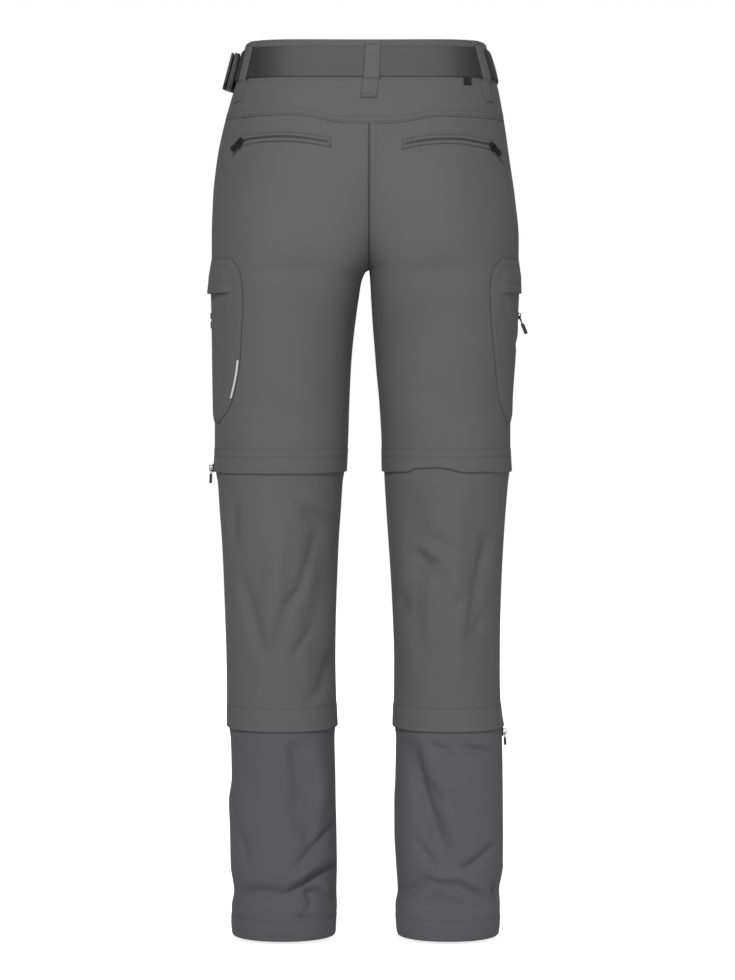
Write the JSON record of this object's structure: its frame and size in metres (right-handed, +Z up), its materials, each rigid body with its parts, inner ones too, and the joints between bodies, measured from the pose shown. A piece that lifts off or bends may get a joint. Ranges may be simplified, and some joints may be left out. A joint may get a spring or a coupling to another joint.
{
  "type": "convertible zip-off trousers",
  "caption": "Charcoal hiking trousers, filled out with no wearer, with zip-off legs at the knee and calf, cargo pockets, zipped back pockets and a slide-buckle belt.",
  "frame": {"origin": "centre of the waist opening, at the height of the belt, where the wearer's waist holds the trousers", "axes": "+Z is up, out of the waist; the front faces -Y; the wearer's left is +X"},
  "size_m": [0.3818, 0.231, 1.057],
  "materials": {
    "grey_cloth": "matte woven",
    "belt_cloth": "matte woven",
    "black_webbing": "matte webbing",
    "black_plastic": "satin",
    "silver_piping": "reflective silver"
  },
  "bodies": {
    "garment": {"ankle_back_left": "grey_cloth", "ankle_back_right": "grey_cloth", "ankle_front_left": "grey_cloth", "ankle_front_right": "grey_cloth", "back_left": "grey_cloth", "back_pocket_left_slider": "black_plastic", "back_pocket_right_slider": "black_plastic", "back_pocket_welt_left": "grey_cloth", "back_pocket_welt_right": "grey_cloth", "back_pocket_zip_left": "grey_cloth", "back_pocket_zip_right": "grey_cloth", "back_right": "grey_cloth", "back_yoke": "grey_cloth", "belt_back": "belt_cloth", "belt_buckle": "black_plastic", "belt_front": "black_webbing", "belt_loop_back": "grey_cloth", "belt_loop_front_left": "grey_cloth", "belt_loop_front_right": "grey_cloth", "belt_loop_left": "grey_cloth", "belt_loop_right": "grey_cloth", "calf_left_slider": "black_plastic", "calf_right_slider": "black_plastic", "calf_zip_left": "black_webbing", "calf_zip_right": "black_webbing", "cargo_flap_left": "grey_cloth", "cargo_flap_right": "grey_cloth", "cargo_left_slider": "black_plastic", "cargo_pocket_left": "grey_cloth", "cargo_pocket_right": "grey_cloth", "cargo_right_slider": "black_plastic", "cargo_zip_left": "black_webbing", "cargo_zip_right": "black_webbing", "fly_cover": "grey_cloth", "front_left": "grey_cloth", "front_right": "grey_cloth", "knee_left_slider": "black_plastic", "knee_right_slider": "black_plastic", "knee_zip_left": "black_webbing", "knee_zip_right": "black_webbing", "label_tab": "black_webbing", "reflective_piping": "silver_piping", "shin_back_left": "grey_cloth", "shin_back_right": "grey_cloth", "shin_front_left": "grey_cloth", "shin_front_right": "grey_cloth", "waistband": "grey_cloth"},
    "back_pocket_left_tab": {"back_pocket_left_pull": "black_plastic"},
    "back_pocket_right_tab": {"back_pocket_right_pull": "black_plastic"},
    "calf_left_tab": {"calf_left_pull": "black_plastic"},
    "calf_right_tab": {"calf_right_pull": "black_plastic"},
    "cargo_left_tab": {"cargo_left_pull": "black_plastic"},
    "cargo_right_tab": {"cargo_right_pull": "black_plastic"},
    "knee_left_tab": {"knee_left_pull": "black_plastic"},
    "knee_right_tab": {"knee_right_pull": "black_plastic"}
  },
  "joints": [
    {"name": "back_pocket_left_tab_hinge", "type": "hinge", "parent": "garment", "child": "back_pocket_left_tab", "pos_m": [0.14828, 0.07761, -0.09447], "axis": [0.418, -0.6277, 0.6567], "range_deg": [0, 140]},
    {"name": "back_pocket_right_tab_hinge", "type": "hinge", "parent": "garment", "child": "back_pocket_right_tab", "pos_m": [-0.14845, 0.0732, -0.09923], "axis": [0.378, 0.6454, -0.6638], "range_deg": [0, 140]},
    {"name": "calf_left_tab_hinge", "type": "hinge", "parent": "garment", "child": "calf_left_tab", "pos_m": [0.15516, -0.03614, -0.78987], "axis": [-0.5871, -0.8095, 0], "range_deg": [0, 110]},
    {"name": "calf_right_tab_hinge", "type": "hinge", "parent": "garment", "child": "calf_right_tab", "pos_m": [-0.16483, 0.00385, -0.78934], "axis": [0.0282, 0.9996, 0], "range_deg": [0, 110]},
    {"name": "cargo_left_tab_hinge", "type": "hinge", "parent": "garment", "child": "cargo_left_tab", "pos_m": [0.18451, -0.02925, -0.29416], "axis": [-0.2607, -0.9654, 0], "range_deg": [0, 140]},
    {"name": "cargo_right_tab_hinge", "type": "hinge", "parent": "garment", "child": "cargo_right_tab", "pos_m": [-0.18205, -0.02228, -0.29443], "axis": [-0.1961, 0.9806, 0], "range_deg": [-20, 110]},
    {"name": "knee_left_tab_hinge", "type": "hinge", "parent": "garment", "child": "knee_left_tab", "pos_m": [0.18439, 0.00457, -0.47483], "axis": [0.0276, -0.9996, 0], "range_deg": [0, 140]},
    {"name": "knee_right_tab_hinge", "type": "hinge", "parent": "garment", "child": "knee_right_tab", "pos_m": [-0.16164, -0.04493, -0.47491], "axis": [-0.5801, 0.8146, 0], "range_deg": [0, 140]}
  ]
}
